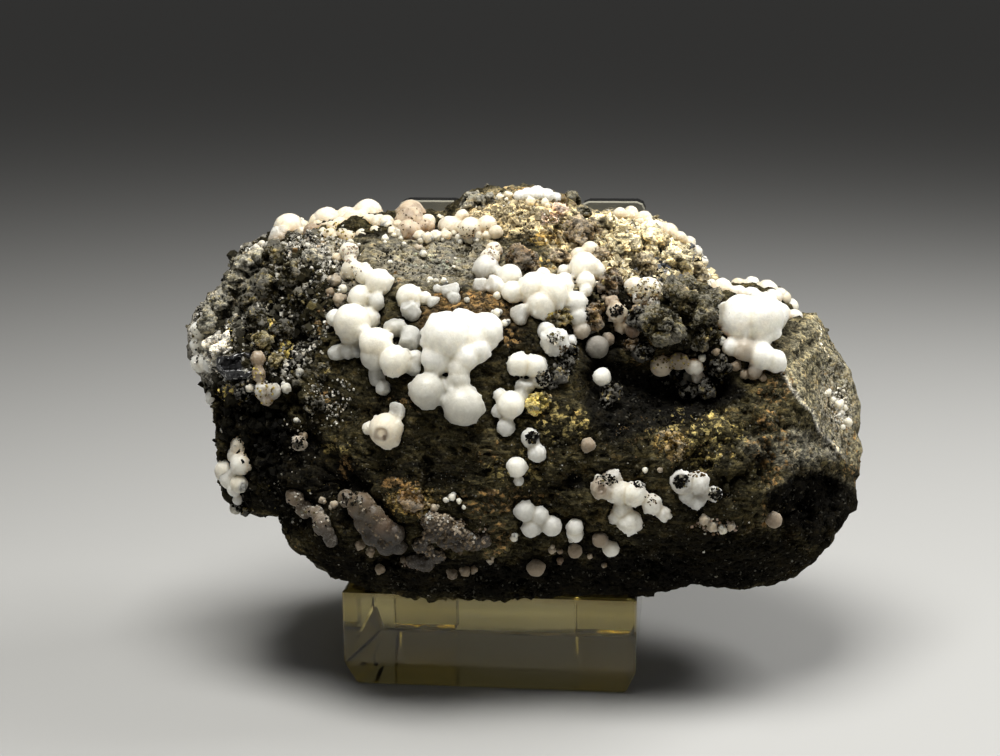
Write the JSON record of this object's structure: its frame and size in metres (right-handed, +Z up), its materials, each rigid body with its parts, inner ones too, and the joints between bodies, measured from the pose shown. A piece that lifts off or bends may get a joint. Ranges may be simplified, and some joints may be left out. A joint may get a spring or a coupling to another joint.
{
  "type": "calcite mineral specimen on a display stand",
  "caption": "Lump of dark volcanic matrix crusted with rounded white calcite beads, resting on a small clear display stand with rear uprights.",
  "frame": {"origin": "centre of the stand block's foot, on the surface that it stands on", "axes": "+X along the specimen's length, +Y away from its show face towards the stand's uprights, +Z up"},
  "size_m": [0.1222, 0.071, 0.0889],
  "materials": {
    "matrix": "rough broken basalt, dark grey-brown with rusty and greenish zones",
    "dark_mineral": "glassy black crystal",
    "clear_acrylic": "clear, yellowed with age, polished",
    "calcite_white": "waxy, slightly translucent, finely faceted",
    "calcite_cream": "waxy, slightly translucent, cream to peach",
    "calcite_tan": "dull, tan to pinkish brown"
  },
  "bodies": {
    "root": {"basalt_matrix": "matrix", "dark_glassy_crystal": "dark_mineral", "stand_block": "clear_acrylic", "stand_prong_left": "clear_acrylic", "stand_prong_right": "clear_acrylic", "calcite_centre_mass": "calcite_white", "calcite_left_mass": "calcite_white", "calcite_trefoil": "calcite_white", "calcite_small_fleck": "calcite_white", "calcite_upper_centre": "calcite_white", "calcite_pitted_nodule": "calcite_white", "calcite_middle_string": "calcite_white", "calcite_shell_pair": "calcite_white", "calcite_drop": "calcite_white", "calcite_hollow_bead": "calcite_white", "calcite_hollow_back": "calcite_tan", "calcite_brown_bead": "calcite_tan", "calcite_snail_ball": "calcite_cream", "calcite_dotted_beads": "calcite_tan", "calcite_white_patch": "calcite_white", "calcite_overhang_row": "calcite_tan", "calcite_skyline_right": "calcite_cream", "calcite_right_mass": "calcite_white", "calcite_skyline_end": "calcite_cream", "calcite_skyline_left": "calcite_cream", "calcite_skyline_mottled": "calcite_cream", "calcite_skyline_pair": "calcite_cream", "calcite_top_cap": "calcite_white", "calcite_lower_quartet": "calcite_white", "calcite_lower_oval": "calcite_white", "calcite_lower_tan_bead": "calcite_tan", "calcite_underside_bead": "calcite_tan", "calcite_tan_pair": "calcite_tan", "calcite_lower_right_mass": "calcite_cream", "calcite_pitted_right": "calcite_cream", "calcite_right_bead": "calcite_tan", "calcite_left_edge": "calcite_white", "calcite_left_trio": "calcite_white", "calcite_left_bead": "calcite_white", "calcite_left_column": "calcite_white", "calcite_mottled_bead": "calcite_tan", "calcite_lower_left_row": "calcite_cream", "calcite_lower_band": "calcite_cream", "calcite_pink_crust": "calcite_cream", "calcite_back_ridge": "calcite_cream", "calcite_back_upper_right": "calcite_white", "calcite_back_right_end": "calcite_white", "calcite_back_left_end": "calcite_white", "calcite_back_middle": "calcite_cream"}
  },
  "joints": []
}
